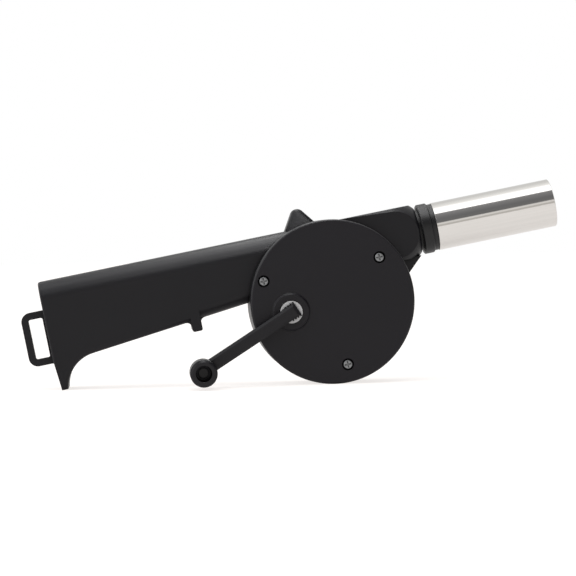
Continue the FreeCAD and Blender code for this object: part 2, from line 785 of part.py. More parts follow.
def end_cap():
    """Plate over the handle's open end, with a rim that plugs it and a loop for a strap."""
    body = new_body("end_cap")
    plate_face = "(handle_back + cap_thick)"

    rim_side = "(handle_half - wall - run_gap)"
    rim_top = "(handle_top - wall - run_gap)"
    rim_bottom = f"({underside('-handle_back')} + 3*wall/2)"
    sketch = new_sketch(body, "rim_outline", "YZ_Plane", "-handle_back")
    polygon(sketch, [
        (f"-{rim_side}", rim_bottom),
        (rim_side, rim_bottom),
        (rim_side, rim_top),
        (f"-{rim_side}", rim_top),
    ])
    feature(body, "Pad", "rim", sketch, Length="cap_rim")
    rim_height = value(rim_top)
    fillet(body, "rim_corners", "handle_round - wall",
           lambda edge: near(middle(edge).z, rim_height) and near(edge.BoundBox.YLength, 0)
           and near(edge.BoundBox.ZLength, 0))
    sketch = new_sketch(body, "plate_outline", "YZ_Plane", f"-{plate_face}")
    polygon(sketch, [
        ("-handle_half", "-cap_bottom"),
        ("handle_half", "-cap_bottom"),
        ("handle_half", "handle_top"),
        ("-handle_half", "handle_top"),
    ])
    feature(body, "Pad", "plate", sketch, Length="cap_thick")
    plate_top = value("handle_top")
    fillet(body, "plate_corners", "handle_round",
           lambda edge: near(middle(edge).z, plate_top) and near(edge.BoundBox.YLength, 0)
           and near(edge.BoundBox.ZLength, 0))
    face = -value(plate_face)
    fillet(body, "plate_edge", "cap_edge",
           lambda edge: near(edge.BoundBox.XMin, face) and near(edge.BoundBox.XMax, face)
           and middle(edge).z > -value("cap_bottom") + 1)
    sketch = new_sketch(body, "rim_hollow_outline", "YZ_Plane", "-handle_back")
    polygon(sketch, [
        (f"cap_rim_wall*2 - {rim_side}", f"{rim_bottom} + cap_rim_wall"),
        (f"{rim_side} - cap_rim_wall*2", f"{rim_bottom} + cap_rim_wall"),
        (f"{rim_side} - cap_rim_wall*2", f"{rim_top} - 2*cap_rim_wall"),
        (f"cap_rim_wall*2 - {rim_side}", f"{rim_top} - 2*cap_rim_wall"),
    ])
    feature(body, "Pocket", "rim_hollow", sketch, Length="cap_rim", Reversed=True)

    # Strap loop in the parting plane
    outer_x = f"(-{plate_face} - loop_reach)"
    sketch = new_sketch(body, "loop_outline", "XZ_Plane", "-loop_half")
    polygon(sketch, [
        (outer_x, "-cap_bottom"),
        (f"-{plate_face} + cap_thick/2", "-cap_bottom"),
        (f"-{plate_face} + cap_thick/2", "loop_top"),
        (outer_x, "loop_top"),
    ])
    feature(body, "Pad", "loop", sketch, Length="2*loop_half")
    edge_x = value(outer_x)
    fillet(body, "loop_corners", "loop_round",
           lambda edge: near(middle(edge).x, edge_x) and near(edge.BoundBox.ZLength, 0))
    sketch = new_sketch(body, "slot_outline", "XZ_Plane", "-handle_half")
    polygon(sketch, [
        (f"{outer_x} + loop_bar", "loop_bar - cap_bottom"),
        (f"-{plate_face} - loop_inner_bar", "loop_bar - cap_bottom"),
        (f"-{plate_face} - loop_inner_bar", "loop_top - loop_bar"),
        (f"{outer_x} + loop_bar", "loop_top - loop_bar"),
    ])
    feature(body, "Pocket", "slot", sketch, Length="2*handle_half", Reversed=True)
    slot_low = value("loop_bar - cap_bottom")
    slot_high = value("loop_top - loop_bar")
    fillet(body, "slot_corners", "slot_round",
           lambda edge: near(edge.BoundBox.XLength, 0) and near(edge.BoundBox.ZLength, 0)
           and middle(edge).x < face - value("cap_thick") / 2
           and (near(middle(edge).z, slot_low) or near(middle(edge).z, slot_high)))
    return body


def neck_ring():
    back = "(neck_end - seat_length + fit_gap)"
    barrel = f"({seat_radius} - fit_gap)"
    flange = f"({seat_radius} + flange_height - fit_gap)"
    flange_back = "(neck_end - seat_length + flange_width)"
    collar_front = f"({collar_back} + collar_width)"
    return turned("neck_ring", [
        (back, "duct_radius"),
        (back, barrel),
        (flange_back, barrel),
        (flange_back, flange),
        (f"{flange_back} + flange_width", flange),
        (f"{flange_back} + flange_width", barrel),
        (collar_back, barrel),
        (collar_back, "collar_radius - collar_edge"),
        (f"{collar_back} + collar_edge", "collar_radius"),
        (f"{collar_front} - collar_edge", "collar_radius"),
        (collar_front, "collar_radius - collar_edge"),
        (collar_front, "shoulder_radius"),
        (tube_start, "shoulder_radius"),
        (tube_start, f"{ream_radius} - fit_gap"),
        (f"{tube_start} + spigot_length", f"{ream_radius} - fit_gap"),
        (f"{tube_start} + spigot_length", "duct_radius"),
    ], along="X")


def nozzle_tube():
    front = f"({tube_start} + tube_length)"
    inner = "(tube_radius - tube_wall)"
    ream_end = f"({tube_start} + spigot_length + spigot_gap)"
    return turned("nozzle_tube", [
        (ream_end, inner),
        (ream_end, ream_radius),
        (tube_start, ream_radius),
        (tube_start, "tube_radius"),
        (f"{front} - tube_edge", "tube_radius"),
        (front, "tube_radius - tube_edge"),
        (front, f"{inner} + tube_edge"),
        (f"{front} - tube_edge", inner),
    ], along="X")


def crank_arm():
    """Bar with a square plug at the crank's axis and a post for the knob, along local X."""
    body = new_body("crank_arm")
    half = "(arm_width/2)"
    sketch = new_sketch(body, "bar_outline", "XZ_Plane", arm_back)
    polygon(sketch, [
        (f"-{half}", f"-{half}"),
        ("crank_length", f"-{half}"),
        ("crank_length", half),
        (f"-{half}", half),
    ])
    feature(body, "Pad", "bar", sketch, Length="arm_thick")
    face = -value(arm_front)
    fillet(body, "bar_bevels", "arm_bevel",
           lambda edge: near(middle(edge).y, face) and edge.BoundBox.XLength > value("arm_width"), "Chamfer")
    back_end = -value(half)
    fillet(body, "end_bevel", "arm_end_bevel",
           lambda edge: near(edge.BoundBox.XMax, back_end) and near(middle(edge).y, face), "Chamfer")
    sketch = new_sketch(body, "eye_outline", "XZ_Plane", arm_back)
    circle(sketch, "crank_length", "0", "eye_radius")
    feature(body, "Pad", "eye", sketch, Length="arm_thick")
    sketch = new_sketch(body, "grip_rib_outline", "XZ_Plane", arm_back)
    for rib in range(int(value("grip_ribs"))):
        first = f"({rib}*grip_rib_pitch - {half})"
        last = f"({first} + grip_rib_width)"
        polygon(sketch, [
            (first, f"-{half} - grip_rib_out"),
            (last, f"-{half} - grip_rib_out"),
            (last, f"{half} + grip_rib_out"),
            (first, f"{half} + grip_rib_out"),
        ])
    feature(body, "Pad", "grip_ribs", sketch, Length="grip_rib_height")
    sketch = new_sketch(body, "plug_outline", "XZ_Plane", f"{socket_bottom} + run_gap")
    polygon(sketch, [(f"-{half}", f"-{half}"), (half, f"-{half}"), (half, half), (f"-{half}", half)])
    feature(body, "Pad", "plug", sketch, Length=f"{arm_back} - {socket_bottom}")
    sketch = new_sketch(body, "post_outline", "XZ_Plane", arm_back)
    circle(sketch, "crank_length", "0", "post_radius")
    feature(body, "Pad", "post", sketch, Length="arm_thick + knob_gap + knob_shoulder + post_end")
    groove_back = f"({knob_back} + knob_shoulder + run_gap)"
    sketch = new_sketch(body, "clip_groove_outline", "XZ_Plane", groove_back)
    circle(sketch, "crank_length", "0", "post_radius + wall")
    circle(sketch, "crank_length", "0", "post_radius - clip_thick/2")
    feature(body, "Pocket", "clip_groove", sketch, Length="clip_thick + run_gap", Reversed=True)
    return body


def crank_knob():
    front = "knob_length"
    return turned("crank_knob", [
        ("0", "post_radius + run_gap"),
        ("0", "knob_radius - knob_round"),
        ("-knob_round*0.3", "knob_radius - knob_round*0.3"),
        ("-knob_round", "knob_radius"),
        (f"knob_round - {front}", "knob_radius"),
        (f"knob_round*0.3 - {front}", "knob_radius - knob_round*0.3"),
        (f"-{front}", "knob_radius - knob_round"),
        (f"-{front}", "knob_bore"),
        ("-knob_shoulder", "knob_bore"),
        ("-knob_shoulder", "post_radius + run_gap"),
    ])


def knob_clip():
    inner = "(post_radius - clip_thick/2 + fit_gap)"
    return turned("knob_clip", [
        ("0", inner),
        ("0", "clip_radius"),
        ("-clip_thick", "clip_radius"),
        ("-clip_thick", inner),
    ])


def cylinder(radius, first, last):
    """A round along -Y between two depths."""
    start = Vector(0, -value(first), 0)
    return Part.makeCylinder(value(radius), value(f"({last}) - ({first})"), start, Vector(0, -1, 0))


def toothed(teeth, module, shift, first, last):
    """Involute teeth between two depths, one tooth centred on local X."""
    count = int(value(teeth))
    size = value(module)
    pressure = math.radians(value("pressure_angle"))
    pitch = size * count / 2
    base = pitch * math.cos(pressure)
    tip = pitch + size * (value("tip_height") + shift)
    root = pitch - size * (value("root_depth") - shift)
    thickness = size * (math.pi / 2 + 2 * shift * math.tan(pressure)) - value("backlash") / 2

    def involute(angle):
        return math.tan(angle) - angle

    def half_angle(radius):
        slant = math.acos(min(1.0, base / radius))
        return thickness / (2 * pitch) + involute(pressure) - involute(slant)

    steps = 4
    lowest = max(root, base)
    radii = [lowest + (tip - lowest) * (step / steps) ** 0.8 for step in range(steps + 1)]
    flank = [(radius, half_angle(radius)) for radius in radii]
    if root < base:
        flank.insert(0, (root, half_angle(base)))
    points = []
    for tooth in range(count):
        centre = 2 * math.pi * tooth / count
        sides = [(radius, centre - angle) for radius, angle in flank]
        sides += [(radius, centre + angle) for radius, angle in reversed(flank)]
        for radius, turn in sides:
            points.append(Vector(radius * math.cos(turn), -value(first), radius * math.sin(turn)))
    face = Part.Face(Part.makePolygon(points + points[:1]))
    return face.extrude(Vector(0, value(first) - value(last), 0))


def made_by_code(name, shape):
    item = doc.addObject("Part::Feature", name)
    item.Label = name
    item.Shape = shape
    return item


def drive_gear():
    shift = -value("profile_shift")
    gear = toothed("drive_teeth", "drive_module", shift, drive_back, drive_front)
    gear = gear.fuse(cylinder("hub_radius", wheel_back, hub_front))
    recess_back = f"({drive_front} - gear_recess)"
    recess = cylinder("(drive_teeth/2 - gear_rim)*drive_module", recess_back, drive_front)
    recess = recess.cut(cylinder("hub_radius + wall/2", recess_back, drive_front))
    gear = gear.cut(recess)
    pivot_top = f"({housing_half} + pivot_length + 3*run_gap)"
    gear = gear.cut(cylinder("pivot_radius + run_gap", wheel_back, pivot_top))
    side = value("arm_width + 2*run_gap")
    socket = Part.makeBox(side, value("plug_depth"), side, Vector(-side / 2, -value(hub_front), -side / 2))
    turn = Rotation(Vector(0, 1, 0), -value("crank_angle"))
    socket.Placement = Placement(Vector(0, 0, 0), turn)
    return made_by_code("drive_gear", gear.cut(socket))


def idler_gear():
    shift = value("profile_shift")
    wheel = toothed("wheel_teeth", "wheel_module", -shift, wheel_back, f"{wheel_back} + wheel_width")
    wheel_front = f"({wheel_back} + wheel_width)"
    recess_back = f"({wheel_front} - gear_recess)"
    recess = cylinder("(wheel_teeth/2 - gear_rim)*wheel_module", recess_back, wheel_front)
    recess = recess.cut(cylinder("pinion_teeth/2*drive_module + wall/2", recess_back, wheel_front))
    pinion = toothed("pinion_teeth", "drive_module", shift, f"{wheel_back} + wheel_width/2", drive_front)
    gear = wheel.cut(recess).fuse(pinion)
    return made_by_code("idler_gear", gear.cut(cylinder("pin_radius + fit_gap", wheel_back, drive_front)))


def fan_pinion():
    first = f"({wheel_back} + run_gap)"
    last = f"({wheel_back} + wheel_width + layer_gap/2)"
    gear = toothed("fan_teeth", "wheel_module", value("profile_shift"), first, last)
    return made_by_code("fan_pinion", gear.cut(cylinder("shaft_radius + fit_gap/5", first, last)))


def drive_washer():
    return turned("drive_washer", [
        (f"-{housing_half}", "pivot_radius + fit_gap"),
        (f"-{housing_half}", "hub_radius - fit_gap"),
        (f"fit_gap - {wheel_back}", "hub_radius - fit_gap"),
        (f"fit_gap - {wheel_back}", "pivot_radius + fit_gap"),
    ])


def idler_pin():
    back = f"({housing_half} - chamber_web)"
    front = f"({cover_front} - cover_thick/2 - run_gap)"
    return turned("idler_pin", [
        (f"-{back}", "0"),
        (f"-{back}", "pin_radius"),
        (f"-{front}", "pin_radius"),
        (f"-{front}", "0"),
    ])


fan_back = "(fan_gap - fan_half)"
grille_outer = f"({housing_half} + grille_thick)"
nut_back = "(fan_half - fan_gap/2)"
rear_bush_end = f"({grille_outer} + grille_hub_height/2)"


def fan_shaft():
    front = f"({wheel_back} + wheel_width + layer_gap/2)"
    return turned("fan_shaft", [
        (f"-{front}", "0"),
        (f"-{front}", "shaft_radius"),
        (f"{rear_bush_end} - run_gap", "shaft_radius"),
        (f"{rear_bush_end} - run_gap", "0"),
    ])


def fan_bush_front():
    inner = "(shaft_radius + fit_gap/2)"
    return turned("fan_bush_front", [
        ("bush_reach - fan_half", inner),
        ("bush_reach - fan_half", "bush_radius"),
        (f"-{housing_half}", "bush_radius"),
        (f"-{housing_half}", "bush_flange"),
        (f"-{housing_half} - bush_flange_thick", "bush_flange"),
        (f"-{housing_half} - bush_flange_thick", inner),
    ])


def fan_bush_rear():
    inner = "(shaft_radius + fit_gap/2)"
    return turned("fan_bush_rear", [
        (f"{housing_half} - bush_flange_thick", inner),
        (f"{housing_half} - bush_flange_thick", "bush_radius"),
        (rear_bush_end, "bush_radius"),
        (rear_bush_end, inner),
    ])


def fan_wheel():
    body = new_body("fan_wheel")
    sketch = new_sketch(body, "fan_profile", "XY_Plane")
    hub_back = "(bush_reach - fan_half + 2*run_gap)"
    polygon(sketch, [
        ("shaft_radius + fit_gap/5", hub_back),
        ("fan_hub_radius", hub_back),
        ("fan_hub_radius", fan_back),
        (fan_radius, fan_back),
        (fan_radius, f"{fan_back} + fan_plate"),
        ("fan_hub_radius", f"{fan_back} + fan_plate"),
        ("fan_hub_radius - fan_plate/2", f"{nut_back} - run_gap"),
        ("shaft_radius + fit_gap/5", f"{nut_back} - run_gap"),
    ])
    feature(body, "Revolution", "hub_and_plate", sketch, ReferenceAxis=(sketch, ["V_Axis"]), Angle=360.0)
    sketch = new_sketch(body, "blade_outline", "XZ_Plane", f"-({fan_back} + fan_plate/2)")
    blade_outline(sketch)
    blade_height = "2*fan_half - 2*fan_gap - fan_plate/2"
    blade = feature(body, "Pad", "blade", sketch, Length=blade_height, Reversed=True)
    pattern(body, "blades", blade, "Y_Axis", "blade_count")
    return body


def blade_outline(sketch):
    """A bent strip between the foot's and the rim's circles, with ends on them."""
    foot = value("blade_foot")
    blade_tip = f"({fan_radius} - fan_plate/4)"
    rim = value(blade_tip)
    bend = value("blade_arc")
    # The arc's centre lies on local X level with the foot, so that the blade leaves the hub nearly radially.
    centre_x = foot
    centre_y = bend
    rule = Sketcher.Constraint
    rings = []
    for size in ("blade_foot", blade_tip):
        ring = Part.Circle(Vector(0, 0, 0), Vector(0, 0, 1), value(size))
        rings.append(sketch.addGeometry(ring, True))
        sketch.addConstraint(rule("Coincident", rings[-1], 3, -1, 1))
        bind(sketch, "Radius", (rings[-1],), size)

    def meet(ring_radius, arc_radius):
        """The crossing of a circle about the axis with an arc, on the arc's lower side."""
        apart = math.hypot(centre_x, centre_y)
        along = (ring_radius ** 2 - arc_radius ** 2 + apart ** 2) / (2 * apart)
        aside = math.sqrt(ring_radius ** 2 - along ** 2)
        ahead = Vector(centre_x, centre_y, 0) / apart
        return ahead * along + Vector(ahead.y, -ahead.x, 0) * aside

    ends = []
    for size in ("blade_arc", "blade_arc + blade_thick"):
        radius = value(size)
        first = meet(foot, radius)
        last = meet(rim, radius)
        centre = Vector(centre_x, centre_y, 0)
        start = math.atan2(first.y - centre_y, first.x - centre_x)
        stop = math.atan2(last.y - centre_y, last.x - centre_x)
        ring = Part.Circle(centre, Vector(0, 0, 1), radius)
        arc = sketch.addGeometry(Part.ArcOfCircle(ring, start, stop))
        bind(sketch, "Radius", (arc,), size)
        bind(sketch, "DistanceX", (-1, 1, arc, 3), "blade_foot")
        bind(sketch, "DistanceY", (-1, 1, arc, 3), "blade_arc")
        sketch.addConstraint(rule("PointOnObject", arc, 1, rings[0]))
        sketch.addConstraint(rule("PointOnObject", arc, 2, rings[1]))
        ends.append((arc, first, last))
    for corner, place in ((1, 1), (2, 2)):
        line = sketch.addGeometry(Part.LineSegment(ends[0][place], ends[1][place]))
        sketch.addConstraint(rule("Coincident", ends[0][0], corner, line, 1))
        sketch.addConstraint(rule("Coincident", ends[1][0], corner, line, 2))


def fan_nut():
    body = new_body("fan_nut")
    sketch = new_sketch(body, "nut_outline", "XZ_Plane", f"-{nut_back}")
    corner = "(nut_width/2/cos(30))"
    polygon(sketch, [(f"({corner}*cos({turn * 60}))", f"({corner}*sin({turn * 60}))") for turn in range(6)])
    feature(body, "Pad", "nut", sketch, Length="nut_thick", Reversed=True)
    plain_hole(body, "thread_hole", "0", [("0", "0")], "shaft_radius + fit_gap/5", "2*fan_half", False)
    return body


def intake_grille():
    body = new_body("intake_grille")
    sketch = new_sketch(body, "grille_profile", "XY_Plane")
    hub_back = f"({housing_half} - bush_flange_thick)"
    polygon(sketch, [
        ("bush_radius + fit_gap/2", hub_back),
        ("grille_hub_radius", hub_back),
        ("grille_hub_radius", housing_half),
        ("grille_radius", housing_half),
        ("grille_radius", f"{grille_outer} - grille_edge"),
        ("grille_radius - grille_edge", grille_outer),
        ("grille_hub_radius", grille_outer),
        ("grille_hub_radius - grille_edge", f"{grille_outer} + grille_hub_height"),
        ("0", f"{grille_outer} + grille_hub_height"),
        ("0", f"{rear_bush_end} + run_gap"),
        ("bush_radius + fit_gap/2", f"{rear_bush_end} + run_gap"),
    ])
    feature(body, "Revolution", "grille_disc", sketch, ReferenceAxis=(sketch, ["V_Axis"]), Angle=360.0)
    sketch = new_sketch(body, "air_slot_outline", "XZ_Plane")
    polygon(sketch, [
        ("slot_inner", "-slot_inner_width/2"),
        ("slot_outer", "-slot_width/2"),
        ("slot_outer", "slot_width/2"),
        ("slot_inner", "slot_inner_width/2"),
    ])
    slot = feature(body, "Pocket", "air_slot", sketch, Length="2*fan_half", Reversed=False)
    pattern(body, "air_slots", slot, "Y_Axis", "slot_count")
    plain_hole(body, "screw_holes", "0", grille_screw_places(), "small_shank + fit_gap", "2*fan_half", False)
    return body


def screw(head, head_height, shank, length):
    """A pan-head screw with a cross recess: the head's seat at the origin, the shank along -Z."""
    top = value(head_height)
    solid = Part.makeCylinder(value(head), top)
    solid = solid.fuse(Part.makeCylinder(value(shank), value(length), Vector(), Vector(0, 0, -1)))
    rim = [edge for edge in solid.Edges if near(edge.BoundBox.ZMin, top) and near(edge.BoundBox.ZMax, top)]
    solid = solid.makeFillet(value("head_round"), rim)
    width = value("recess_width")
    reach = 2 * value("recess_reach")
    for across, along in ((width, reach), (reach, width)):
        corner = Vector(-across / 2, -along / 2, top - value("recess_depth"))
        solid = solid.cut(Part.makeBox(across, along, top, corner))
    return solid


def screw_group(name, solid, places, seat, forward):
    """Copies of one screw at places in the parting plane, with their heads seated at one depth."""
    turn = Rotation(Vector(1, 0, 0), 90 if forward else -90)
    copies = []
    for across, up in places:
        one = solid.copy()
        one.Placement = Placement(Vector(value(across), value(seat), value(up)), turn)
        copies.append(one)
    return made_by_code(name, Part.makeCompound(copies))


def cover_screws():
    solid = screw("small_head", "small_head_height", "small_shank", "cover_screw_length - wall/4")
    seat = f"counterbore_depth - {cover_front}"
    return screw_group("cover_screws", solid, cover_screw_places(), seat, True)


def grille_screws():
    solid = screw("small_head", "small_head_height", "small_shank", "grille_screw_length")
    return screw_group("grille_screws", solid, grille_screw_places(), grille_outer, False)


def shell_screws():
    solid = screw("shell_head", "shell_head_height", "shell_shank", "shell_screw_length")
    return screw_group("shell_screws", solid, shell_screws_at.values(), "shell_screw_seat", False)


def turned_about_axis(degrees):
    """Positive turns local X towards local Z."""
    return Rotation(Vector(0, 1, 0), -degrees)


def gear_phases():
    """Turns that bring the teeth into mesh, in degrees from local X towards local Z."""
    crank = Vector(-value(crank_back), 0, -value("crank_drop"))
    idler = idler_place()
    to_idler = math.degrees(math.atan2(idler.z - crank.z, idler.x - crank.x))
    to_fan = math.degrees(math.atan2(-idler.z, -idler.x))
    drive_teeth = value("drive_teeth")
    pinion_teeth = value("pinion_teeth")
    wheel_teeth = value("wheel_teeth")
    fan_teeth = value("fan_teeth")
    idler_turn = to_idler + 180 + 180 / pinion_teeth + to_idler * drive_teeth / pinion_teeth
    fan_turn = to_fan + 180 + 180 / fan_teeth + (to_fan - idler_turn) * wheel_teeth / fan_teeth
    return idler_turn, fan_turn


# The tool stands on its heel and its drum: the slope of the line that touches both.
heel = Vector(-value("handle_back"), 0, -value("heel_depth"))
lie_angle = math.degrees(math.asin(value("drum_radius") / heel.Length) - math.atan2(-heel.z, -heel.x))
lean = Rotation(Vector(0, 1, 0), -lie_angle)

crank_axis = Vector(-value(crank_back), 0, -value("crank_drop"))
arm_way = math.radians(value("crank_angle"))
knob_axis = crank_axis + Vector(math.cos(arm_way), 0, math.sin(arm_way)) * value("crank_length")
idler_axis = idler_place()
idler_turn, fan_turn = gear_phases()
tube_line = Vector(0, 0, value("tube_axis"))
no_turn = Rotation()

pieces = [
    (front_shell(), Vector(), no_turn),
    (rear_shell(), Vector(), no_turn),
    (gear_cover(), Vector(), no_turn),
    (end_cap(), Vector(), no_turn),
    (neck_ring(), tube_line, no_turn),
    (nozzle_tube(), tube_line, no_turn),
    (crank_arm(), crank_axis, turned_about_axis(value("crank_angle"))),
    (crank_knob(), knob_axis - Vector(0, value(knob_back), 0), no_turn),
    (knob_clip(), knob_axis - Vector(0, value(f"{knob_back} + knob_shoulder + 1.5*run_gap"), 0), no_turn),
    (drive_gear(), crank_axis, no_turn),
    (drive_washer(), crank_axis, no_turn),
    (idler_gear(), idler_axis, turned_about_axis(idler_turn)),
    (idler_pin(), idler_axis, no_turn),
    (fan_pinion(), Vector(), turned_about_axis(fan_turn)),
    (fan_shaft(), Vector(), no_turn),
    (fan_bush_front(), Vector(), no_turn),
    (fan_bush_rear(), Vector(), no_turn),
    (fan_wheel(), Vector(), no_turn),
    (fan_nut(), Vector(), no_turn),
    (intake_grille(), Vector(), no_turn),
    (cover_screws(), Vector(), no_turn),
    (grille_screws(), Vector(), no_turn),
    (shell_screws(), Vector(), no_turn),
]


def stand(shift):
    for item, place, turn in pieces:
        item.Placement = Placement(shift, lean).multiply(Placement(place, turn))
    doc.recompute()


stand(Vector())
whole = Part.makeCompound([item.Shape for item, place, turn in pieces]).optimalBoundingBox()
shift = Vector(-(whole.XMin + whole.XMax) / 2, -(whole.YMin + whole.YMax) / 2, -whole.ZMin)
stand(shift)

for item in doc.Objects:
    if "Invalid" in item.State or "Error" in item.State:
        raise RuntimeError(f"{item.Label} failed: {item.State}")
for item, place, turn in pieces:
    if item.Shape.isNull() or not item.Shape.isValid():
        raise RuntimeError(f"{item.Label} has no sound solid")

os.makedirs("parts", exist_ok=True)
for item, place, turn in pieces:
    item.Shape.exportStep(f"parts/{item.Label}.step")
    print(f"{item.Label}: {len(item.Shape.Solids)} solid(s), {item.Shape.Volume:.1f} mm3")

for label, axis in (("crank", crank_axis), ("knob", knob_axis), ("idler", idler_axis), ("fan", Vector())):
    spot = shift + lean.multVec(axis)
    print(f"{label} axis at x {spot.x:.4f}, z {spot.z:.4f}")
print(f"lie angle {lie_angle:.4f}, parting plane at y {shift.y:.4f}")
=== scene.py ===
import json
import math

import bmesh
import bpy
from mathutils import Matrix, Vector


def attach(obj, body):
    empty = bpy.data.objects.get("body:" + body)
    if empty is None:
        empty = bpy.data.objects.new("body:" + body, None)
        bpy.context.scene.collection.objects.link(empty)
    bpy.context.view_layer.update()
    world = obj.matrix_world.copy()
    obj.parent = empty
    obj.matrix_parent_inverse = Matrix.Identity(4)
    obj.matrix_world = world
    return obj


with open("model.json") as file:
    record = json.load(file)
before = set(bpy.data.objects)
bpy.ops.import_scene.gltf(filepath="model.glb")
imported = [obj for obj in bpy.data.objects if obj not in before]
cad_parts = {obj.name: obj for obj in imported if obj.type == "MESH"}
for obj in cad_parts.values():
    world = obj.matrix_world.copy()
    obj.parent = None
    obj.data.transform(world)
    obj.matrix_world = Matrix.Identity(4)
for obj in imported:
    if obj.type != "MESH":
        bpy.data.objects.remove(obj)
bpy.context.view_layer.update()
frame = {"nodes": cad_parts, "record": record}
print("frame loaded:", len(frame["nodes"]), "CAD nodes")

mm = 0.001

# Where the photograph was taken from: nearly square on, a little from the left and above, slightly rolled
shot = {
    "lens": 150.0,
    "sensor": 36.0,
    "clip": (0.05, 20.0),
    "distance": 1052 * mm,
    "yaw": 3.68,
    "pitch": 1.2,
    "roll": 1.33,
    "aim": Vector((-1.23, 15.2, 41.46)) * mm,
}


def makeCamera():
    camera = bpy.data.cameras.new("shotCamera")
    camera.lens = shot["lens"]
    camera.sensor_width = shot["sensor"]
    camera.clip_start, camera.clip_end = shot["clip"]
    holder = bpy.data.objects.new("shotCamera", camera)
    bpy.context.scene.collection.objects.link(holder)
    yaw = math.radians(shot["yaw"])
    pitch = math.radians(shot["pitch"])
    back = Vector((-math.sin(yaw) * math.cos(pitch), -math.cos(yaw) * math.cos(pitch), math.sin(pitch)))
    look = (-back).to_track_quat("-Z", "Y").to_matrix().to_4x4()
    roll = Matrix.Rotation(-math.radians(shot["roll"]), 4, "Z")
    holder.matrix_world = Matrix.Translation(shot["aim"] + back * shot["distance"]) @ look @ roll
    bpy.context.scene.camera = holder


makeCamera()
print("camera placed")

# Studio: a pale floor before a white backdrop, an overhead light tent, and the dark room behind the camera.
# Each step of a side of the room is (height above the horizon in degrees, colour).
studio = {
    "backdrop": (1, 1, 1, 1),
    "straightDown": -1.0,
    "floorSize": 12.0,
    "floorCells": 4,
    "floorColour": (0.36, 0.355, 0.35, 1),
    "glowColour": (1.0, 0.965, 0.945, 1),
    "tableGlow": 0.50,
    "cameraGlow": 0.28,
    "frontSteps": [
        (-90, (0.60, 0.59, 0.57, 1)),
        (0, (0.56, 0.54, 0.51, 1)),
        (6, (0.54, 0.52, 0.49, 1)),
        (8, (0.80, 0.78, 0.76, 1)),
        (14, (0.80, 0.78, 0.76, 1)),
        (17, (0.17, 0.17, 0.17, 1)),
        (34, (0.165, 0.165, 0.17, 1)),
        (52, (0.23, 0.23, 0.235, 1)),
        (62, (0.27, 0.27, 0.275, 1)),
        (66, (2.10, 2.10, 2.12, 1)),
        (90, (2.20, 2.20, 2.22, 1)),
    ],
    "backSteps": [
        (-90, (0.80, 0.80, 0.79, 1)),
        (45, (0.72, 0.72, 0.71, 1)),
        (62, (0.85, 0.85, 0.84, 1)),
        (74, (0.98, 0.98, 0.97, 1)),
        (82, (1.25, 1.25, 1.25, 1)),
        (90, (1.60, 1.60, 1.61, 1)),
    ],
    "sideBlend": (-0.15, 0.10),
    "leftSteps": [
        (-90, (0.60, 0.59, 0.57, 1)),
        (0, (0.90, 0.90, 0.90, 1)),
        (20, (1.80, 1.80, 1.80, 1)),
        (50, (1.80, 1.80, 1.80, 1)),
        (70, (0.60, 0.60, 0.60, 1)),
        (90, (0.30, 0.30, 0.30, 1)),
    ],
    "leftBackSteps": [
        (-90, (0.90, 0.90, 0.90, 1)),
        (0, (1.50, 1.50, 1.50, 1)),
        (90, (1.50, 1.50, 1.50, 1)),
    ],
    "leftFrom": (-0.35, -0.55),
}
lamps = {
    "topBox": {"at": (0.05, -0.10, 1.10), "aim": (0.0, 0.015, 0.04), "size": (1.5, 0.9), "watts": 3.0},
    "frontBox": {"at": (-0.55, -1.10, 0.75), "aim": (0.0, 0.015, 0.04), "size": (0.5, 0.6), "watts": 2.5},
}
# Strips that show only as reflections, on the upper shoulders and the fin. They light the dark mouldings
# alone, so that the bright tube and the metal mirror the plain room.
mouldings = ["front_shell", "rear_shell", "gear_cover", "end_cap", "crank_knob",
             "finShape", "stopFilletBack", "stopFilletFront"]
strips = {
    "topStrip": {
        "at": (-0.055, 0.01, 0.62), "aim": (-0.055, 0.01, 0.0), "size": (0.12, 0.94), "watts": 2.0,
        "lights": mouldings + ["neck_ring"],
    },
    "frontStrip": {
        "at": (-0.038, -0.70, 0.62), "aim": (-0.038, -0.70, 0.0), "size": (0.10, 0.47), "watts": 1.8,
        "lights": mouldings,
    },
}


def nodeTree(owner):
    owner.use_nodes = True
    tree = owner.node_tree
    tree.nodes.clear()
    return tree


def add(tree, kind, **settings):
    node = tree.nodes.new(kind)
    for key, setting in settings.items():
        setattr(node, key, setting)
    return node


def link(tree, source, output, target, name):
    tree.links.new(source.outputs[output], target.inputs[name])


# 1 for a ray straight from the camera or through clear glass, else 0
def seenDirectly(tree):
    path = add(tree, "ShaderNodeLightPath")
    both = add(tree, "ShaderNodeMath", operation="MAXIMUM")
    link(tree, path, "Is Camera Ray", both, 0)
    link(tree, path, "Is Transmission Ray", both, 1)
    return both


# Colours of one side of the room by height above the horizon; a new stop starts halfway, then takes its place
def roomSide(tree, height, steps):
    ramp = add(tree, "ShaderNodeValToRGB")
    band = ramp.color_ramp
    while len(band.elements) < len(steps):
        band.elements.new(0.5)
    for element, (angle, colour) in zip(band.elements, steps):
        element.position = (math.sin(math.radians(angle)) + 1) / 2
        element.color = colour
    link(tree, height, "Result", ramp, "Fac")
    return ramp


# Soft step from 0 to 1 between two values along one axis
def share(tree, split, axis, span):
    step = add(tree, "ShaderNodeMapRange", interpolation_type="SMOOTHSTEP")
    step.inputs["From Min"].default_value, step.inputs["From Max"].default_value = span
    link(tree, split, axis, step, "Value")
    return step


def blend(tree, factor, first, second):
    mix = add(tree, "ShaderNodeMix", data_type="RGBA")
    link(tree, factor, "Result", mix, "Factor")
    tree.links.new(first, mix.inputs["A"])
    tree.links.new(second, mix.inputs["B"])
    return mix.outputs["Result"]


